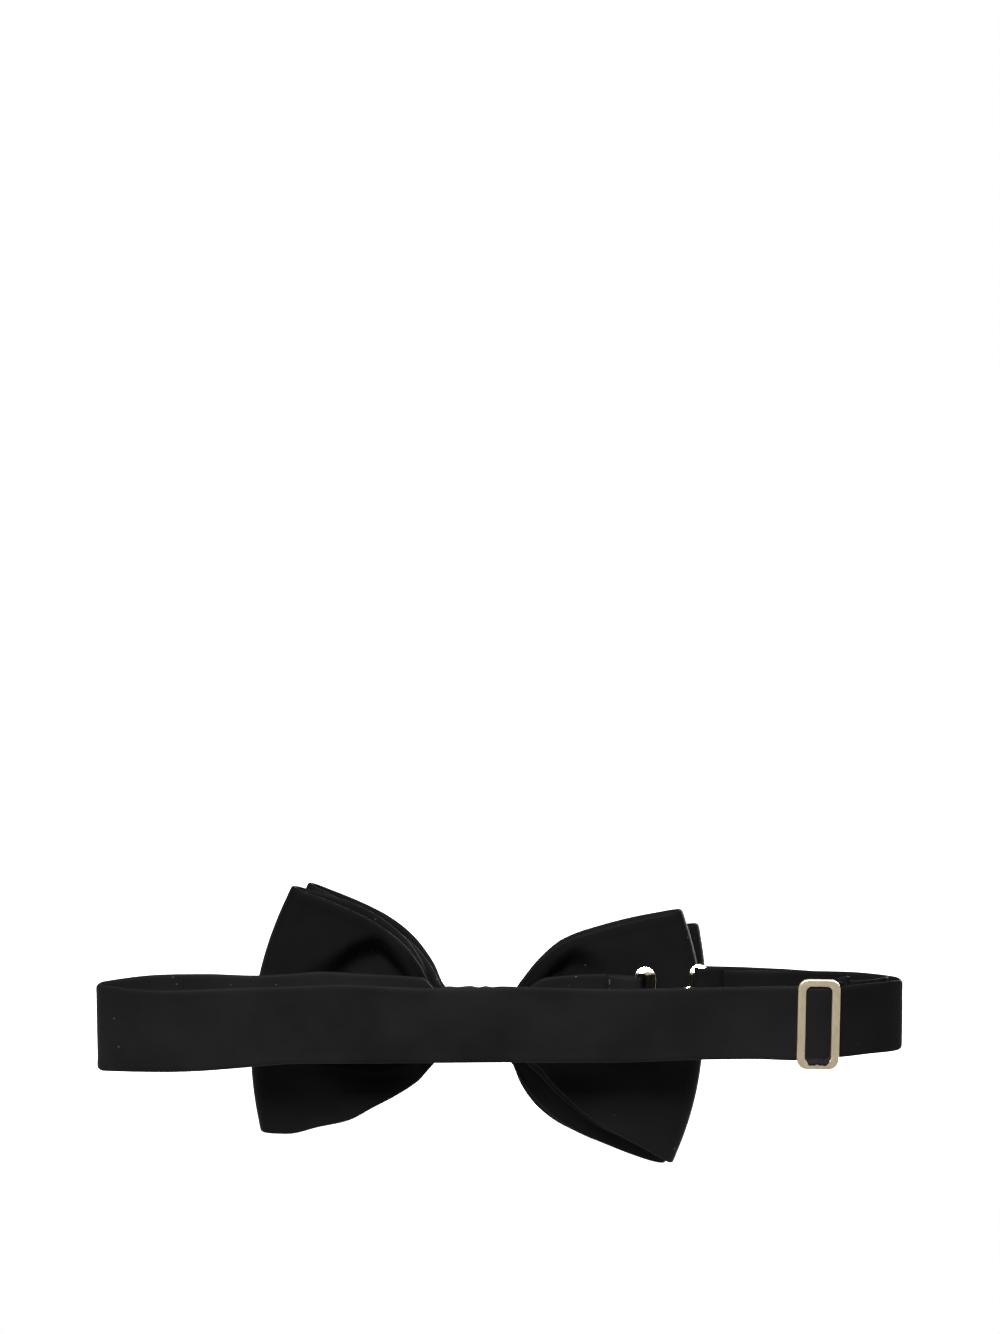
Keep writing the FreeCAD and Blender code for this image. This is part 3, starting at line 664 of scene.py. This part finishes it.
def frame_outline(half_width, half_height, corner, count=12):
    """Points round a rectangle with round corners, the same number at each corner."""
    points = []
    for sx, sz, start in ((1, 1, 0), (-1, 1, 90), (-1, -1, 180), (1, -1, 270)):
        centre = np.array([sx * (half_width - corner), sz * (half_height - corner)])
        for i in range(count):
            points.append(centre + corner * heading(start + 90 * i / (count - 1)))
    return np.array(points)


def stamped_frame(outer, inner, low, high, ease):
    """Points (x, y, z) of a flat metal frame between two outlines and two depths, its edges eased."""
    flat_start = 1.7 * ease
    rounding = [
        (ease * (1 - math.sin(t)), ease * (1 - math.cos(t))) for t in np.linspace(0, math.pi / 2, 4)
    ]
    edge = [(flat_start, 0)] + rounding + [(0, flat_start)]
    side = [(inset, low + depth) for inset, depth in edge]
    side += [(inset, high - depth) for inset, depth in edge[::-1]]
    across = inner - outer
    across /= np.linalg.norm(across, axis=1)[:, None]
    rings = [(outer + across * inset, y) for inset, y in side]
    rings += [(inner - across * inset, y) for inset, y in side[::-1]]
    lines = [np.column_stack([line[:, 0], np.full(len(line), y), line[:, 1]]) for line, y in rings]
    return np.stack(lines, axis=1)


def hardware(name, points, body, node):
    """A ring of metal from its cross-sections."""
    obj = outward(build(name, points.reshape(-1, 3), grid(*points.shape[:2], True, True)))
    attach(obj, body)
    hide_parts(node)
    return obj


def slide_frame():
    """The slide's flat frame, a little askew on the strap."""
    outer = frame_outline(half_width=6.1, half_height=13.25, corner=3.0)
    inner = frame_outline(half_width=3.75, half_height=11.2, corner=1.6)
    points = stamped_frame(outer, inner, low=17.5, high=18.7, ease=0.26)
    lean = math.radians(0.7)
    x, z = points[..., 0].copy(), points[..., 2].copy()
    points[..., 0] = x * math.cos(lean) - z * math.sin(lean) + SLIDE_X
    points[..., 2] = x * math.sin(lean) + z * math.cos(lean) + SLIDE_RISE
    return hardware("adjuster_slide_frame", points, "slide", "adjuster_slide")


def clasp_plate(name, middle_x, half_width, slot, rise, ease, rolled_from, body, node):
    """A slotted plate, rise higher than the strap's middle, its round ends rolled back beyond
    rolled_from; slot gives the slot's middle, half width and half height."""
    slot_x, slot_half_width, slot_half_height = slot
    roll_slope, roll_start = 0.6, 0.4
    # both ends are all but half round
    outer = frame_outline(half_width, CLASP_HALF_HEIGHT, corner=half_width - 0.05)
    inner = frame_outline(slot_half_width, slot_half_height, corner=slot_half_width - 0.02)
    inner[:, 0] += slot_x
    points = stamped_frame(outer, inner, BAR_Y - CLASP_HALF_PLATE, BAR_Y + CLASP_HALF_PLATE, ease)
    over = np.maximum(np.abs(points[..., 2]) - rolled_from, 0)
    points[..., 1] -= roll_slope * over**2 / (over + roll_start)
    points[..., 0] += middle_x
    points[..., 2] += rise
    return hardware(name, points, body, node)


def hook_plate():
    return clasp_plate(
        "clasp_hook_plate", middle_x=-49.1, half_width=3.1, slot=(1.05, 1.35, 11.5), rise=0.5,
        ease=0.12, rolled_from=11.4, body="hook", node="clasp_hook",
    )


def eye_plate():
    return clasp_plate(
        "clasp_eye_plate", middle_x=-64.9, half_width=2.75, slot=(0.2, 1.75, 11.2), rise=1.2,
        ease=0.15, rolled_from=10.8, body="eye", node="clasp_eye",
    )


def hook_tongue():
    """The strip that is cranked out of the plate and bent back to hold the eye."""
    bend = 1.5
    nodes = [
        (-50.5, BAR_Y, 180),
        (-53.4, BAR_Y - bend, 180),
        (-57.3, BAR_Y - bend, 180),
        (-57.3, BAR_Y + bend, 0),
        (-54.3, BAR_Y + bend, 0),
    ]
    line, normals, _ = plan_line(nodes, step=0.6)
    section = frame_outline(half_width=0.5, half_height=3.0, corner=0.35, count=5)
    x = line[:, :1] + normals[:, :1] * section[:, 0]
    y = line[:, 1:] + normals[:, 1:] * section[:, 0]
    z = np.broadcast_to(section[:, 1], x.shape)
    rows, columns = x.shape
    points = np.stack([x, y, z], axis=2).reshape(-1, 3)
    obj = outward(build("clasp_hook_tongue", points, tube(rows, columns)))
    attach(obj, "hook")
    return obj


def wire(name, places, thickness, body, bends):
    """A round wire through (x, y, z) places, its bends "AUTO" for curved or "VECTOR" for square."""
    curve = bpy.data.curves.new(name, "CURVE")
    curve.dimensions = "3D"
    curve.bevel_depth, curve.bevel_resolution, curve.use_fill_caps = thickness / 2 * MM, 4, True
    spline = curve.splines.new("BEZIER")
    spline.bezier_points.add(len(places) - 1)
    for point, place in zip(spline.bezier_points, places):
        point.co = Vector(place) * MM
        point.handle_left_type = point.handle_right_type = bends
    draft = bpy.data.objects.new(name + "_path", curve)
    obj = bpy.data.objects.new(name, bpy.data.meshes.new_from_object(draft))
    bpy.data.objects.remove(draft)
    bpy.context.scene.collection.objects.link(obj)
    for polygon in obj.data.polygons:
        polygon.use_smooth = True
    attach(obj, body)
    return obj


def slide_bar():
    """The slide's middle bar, inside the strap's loop, with its ends bent out to the frame."""
    frame_y, bar_y, high, low = 17.9, 13.75, 11.6, -12.8
    corners = ((frame_y, high), (bar_y, high), (bar_y, low), (frame_y, low))
    places = [(SLIDE_X, y, z + SLIDE_RISE) for y, z in corners]
    return wire("adjuster_slide_bar", places, 1.0, "slide", "VECTOR")


def eye_catch():
    """The loop of wire that the hook goes through, its shoulders sloping in from the eye's plate."""
    side = [(-62.5, 7.6), (-61.0, 7.3), (-58.2, 6.1), (-57.1, 4.6), (-57.05, 1.5)]
    places = [(x, BAR_Y, z) for x, z in side] + [(x, BAR_Y, -z) for x, z in side[::-1]]
    return wire("clasp_eye_catch", places, 0.9, "eye", "AUTO")


# ---------------------------------------------------------------- materials


def material(name, colour, roughness, metallic=0.0):
    """A new material, with its node tree and shader to build on."""
    mat = bpy.data.materials.new(name)
    mat.use_nodes = True
    shader = mat.node_tree.nodes["Principled BSDF"]
    shader.inputs["Base Color"].default_value = (*colour, 1)
    shader.inputs["Roughness"].default_value = roughness
    shader.inputs["Metallic"].default_value = metallic
    return mat, mat.node_tree, shader


def noise(tree, vector, scale, detail):
    """Cloudy noise from 0 to 1, scale times to the metre."""
    node = tree.nodes.new("ShaderNodeTexNoise")
    node.inputs["Scale"].default_value = scale
    node.inputs["Detail"].default_value = detail
    tree.links.new(vector, node.inputs["Vector"])
    return node.outputs["Fac"]


def relief(tree, height, strength, distance, under=None):
    """A normal bumped by a height, distance in metres, over another normal where one is given."""
    node = tree.nodes.new("ShaderNodeBump")
    node.inputs["Strength"].default_value = strength
    node.inputs["Distance"].default_value = distance
    tree.links.new(height, node.inputs["Height"])
    if under is not None:
        tree.links.new(under, node.inputs["Normal"])
    return node.outputs["Normal"]


def ramp(tree, value, low, high, dark, light):
    """dark below low, light above high."""
    node = tree.nodes.new("ShaderNodeValToRGB")
    first, last = node.color_ramp.elements
    first.position, last.position = low, high
    first.color, last.color = (*dark, 1), (*light, 1)
    tree.links.new(value, node.inputs["Fac"])
    return node.outputs["Color"]


def with_lint(tree, place, cloth):
    """The cloth's colour with a few small grey specks on it."""
    black, white, lint = (0, 0, 0), (1, 1, 1), (0.035, 0.035, 0.033, 1)
    specks = tree.nodes.new("ShaderNodeTexVoronoi")
    specks.inputs["Scale"].default_value = 300.0
    tree.links.new(place, specks.inputs["Vector"])
    dot = ramp(tree, specks.outputs["Distance"], 0.05, 0.09, white, black)
    chosen = ramp(tree, specks.outputs["Color"], 0.6, 0.62, black, white)
    gate = tree.nodes.new("ShaderNodeMath")
    gate.operation = "MULTIPLY"
    tree.links.new(dot, gate.inputs[0])
    tree.links.new(chosen, gate.inputs[1])
    mix = tree.nodes.new("ShaderNodeMix")
    mix.data_type = "RGBA"
    tree.links.new(gate.outputs[0], mix.inputs["Factor"])
    tree.links.new(cloth, mix.inputs["A"])
    mix.inputs["B"].default_value = lint
    return mix.outputs["Result"]


def satin_weave(tree):
    """The fine diagonal relief of the threads, which follows the cloth."""
    threads = tree.nodes.new("ShaderNodeUVMap")
    threads.uv_map = "UVMap"
    weave = tree.nodes.new("ShaderNodeTexWave")
    weave.bands_direction = "DIAGONAL"
    weave.inputs["Scale"].default_value = 900.0
    weave.inputs["Distortion"].default_value = 1.2
    tree.links.new(threads.outputs["UV"], weave.inputs["Vector"])
    return relief(tree, weave.outputs["Fac"], strength=0.12, distance=0.00002)


def satin(name, shade, shine):
    """Black satin: a faint cloudy sheen, a very fine weave, soft creases and a few specks of lint."""
    mat, tree, shader = material(name, (shade,) * 3, roughness=0.72)
    shader.inputs["Specular IOR Level"].default_value = shine
    place = tree.nodes.new("ShaderNodeTexCoord").outputs["Object"]
    dark = (0.4 * shade, 0.4 * shade, 0.45 * shade)
    light = (1.6 * shade, 1.6 * shade, 1.75 * shade)
    cloth = ramp(tree, noise(tree, place, scale=45.0, detail=4.0), 0.3, 0.7, dark, light)
    tree.links.new(with_lint(tree, place, cloth), shader.inputs["Base Color"])
    waves = noise(tree, place, scale=130.0, detail=3.0)
    creases = relief(tree, waves, strength=0.3, distance=0.00025, under=satin_weave(tree))
    tree.links.new(creases, shader.inputs["Normal"])
    return mat


def brushed_gold(name, colour, smoothest, roughest):
    """Pale champagne gold with a faint grain."""
    mat, tree, shader = material(name, colour, smoothest, metallic=1.0)
    place = tree.nodes.new("ShaderNodeTexCoord").outputs["Object"]
    cloudy = noise(tree, place, scale=900.0, detail=2.0)
    grain = ramp(tree, cloudy, 0.3, 0.7, (smoothest,) * 3, (roughest,) * 3)
    tree.links.new(grain, shader.inputs["Roughness"])
    return mat


def dress(obj, mat):
    """Give a piece its material, as its only material slot."""
    obj.data.materials.clear()
    obj.data.materials.append(mat)


# ---------------------------------------------------------------- stage, light and camera


def studio(room_light=0.7):
    """White to the camera; for everything else a soft room, bright above and dim below."""
    world = bpy.data.worlds.new("studio")
    bpy.context.scene.world = world
    world.use_nodes = True
    tree = world.node_tree
    room = tree.nodes["Background"]
    room.inputs["Strength"].default_value = room_light
    split = tree.nodes.new("ShaderNodeSeparateXYZ")
    tree.links.new(tree.nodes.new("ShaderNodeTexCoord").outputs["Generated"], split.inputs[0])
    up = tree.nodes.new("ShaderNodeMapRange")
    up.inputs["From Min"].default_value = -0.3
    up.inputs["From Max"].default_value = 0.9
    tree.links.new(split.outputs["Z"], up.inputs["Value"])
    sky = ramp(tree, up.outputs["Result"], 0.0, 1.0, (0.4,) * 3, (1.0,) * 3)
    tree.links.new(sky, room.inputs["Color"])
    seen = tree.nodes.new("ShaderNodeBackground")
    seen.inputs["Color"].default_value = (1, 1, 1, 1)
    mix = tree.nodes.new("ShaderNodeMixShader")
    tree.links.new(tree.nodes.new("ShaderNodeLightPath").outputs["Is Camera Ray"], mix.inputs["Fac"])
    tree.links.new(room.outputs["Background"], mix.inputs[1])
    tree.links.new(seen.outputs["Background"], mix.inputs[2])
    tree.links.new(mix.outputs["Shader"], tree.nodes["World Output"].inputs["Surface"])
    bpy.context.scene.view_settings.view_transform = "Standard"


def soft_light(name, place, size, watts):
    """A square light at a place in metres, aimed at the tie."""
    data = bpy.data.lights.new(name, "AREA")
    data.size, data.energy = size, watts
    light = bpy.data.objects.new(name, data)
    light.location = place
    light.rotation_euler = (-Vector(place)).to_track_quat("-Z", "Y").to_euler()
    bpy.context.scene.collection.objects.link(light)


def floor(level):
    """A white floor under the tie, which ends just past it on the camera's side."""
    far, near = 3000.0, 35.0
    corners = [(-far, -far, 0), (far, -far, 0), (far, near, 0), (-far, near, 0)]
    obj = build("floor", corners, [(0, 1, 2, 3)])
    obj.location.z = level * MM
    mat, _, shader = material("floor_white", (0.5, 0.5, 0.5), 1.0)
    shader.inputs["Specular IOR Level"].default_value = 0.0
    shader.inputs["Emission Color"].default_value = (1, 1, 1, 1)
    shader.inputs["Emission Strength"].default_value = 0.9
    obj.data.materials.append(mat)


def camera():
    """Behind the tie and a little above it, with the tie low in a tall frame."""
    data = bpy.data.cameras.new("camera")
    data.lens, data.sensor_width = 100.0, 36.0
    cam = bpy.data.objects.new("camera", data)
    elevation, distance, middle_x, aim_z = math.radians(12.5), 1096.0, -6.4, 102.72
    back, up = distance * math.cos(elevation), distance * math.sin(elevation)
    cam.location = Vector((middle_x, back, up)) * MM
    aim = Vector((middle_x, 0, aim_z)) * MM
    cam.rotation_euler = (aim - cam.location).to_track_quat("-Z", "Y").to_euler()
    bpy.context.scene.collection.objects.link(cam)
    bpy.context.scene.camera = cam


# ---------------------------------------------------------------- the scene


camera()
studio()
black = satin("black_satin", shade=0.0019, shine=0.072)
# The same satin again, darker and less shiny: its colour is painted shade for the wings, the knot and
# the plies that lie in shade behind and between the straps.
painted_shade_black = satin("black_satin_painted_shade", shade=0.0012, shine=0.05)
plated = brushed_gold("plated_gold", (0.69, 0.58, 0.405), smoothest=0.33, roughest=0.4)
polished = brushed_gold("polished_gold", (0.82, 0.74, 0.56), smoothest=0.1, roughest=0.14)
canvas = material("interlining_canvas", (0.008, 0.008, 0.009), roughness=0.9)[0]
thread = material("black_thread", (0.006, 0.006, 0.0065), roughness=0.6)[0]

for piece in (neck_strap(), strap_over_bar()):
    dress(piece, black)
# These pieces take the darker satin, whose colour is painted shade.
for piece in (clasp_end_strap(), return_ply(), slide_tail(), rear_bow(), front_bow(), knot()):
    dress(piece, painted_shade_black)
for piece in (slide_frame(), slide_bar()):
    dress(piece, plated)
hook, eye = hook_plate(), eye_plate()
for piece in (hook, hook_tongue(), eye, eye_catch()):
    dress(piece, polished)
for node, mat in (
    ("knot_padding", canvas),
    ("waist_binding", thread),
    ("knot_stitches", thread),
    ("hook_end_stitches", thread),
    ("slide_tail_stitches", thread),
):
    for material_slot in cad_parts[node].material_slots:
        material_slot.material = mat

soft_light("key", (0.1, 1.02, 0.95), size=0.6, watts=67.0)
soft_light("front", (-0.8, -1.2, 0.35), size=0.6, watts=40.0)
floor(level=-49.9)
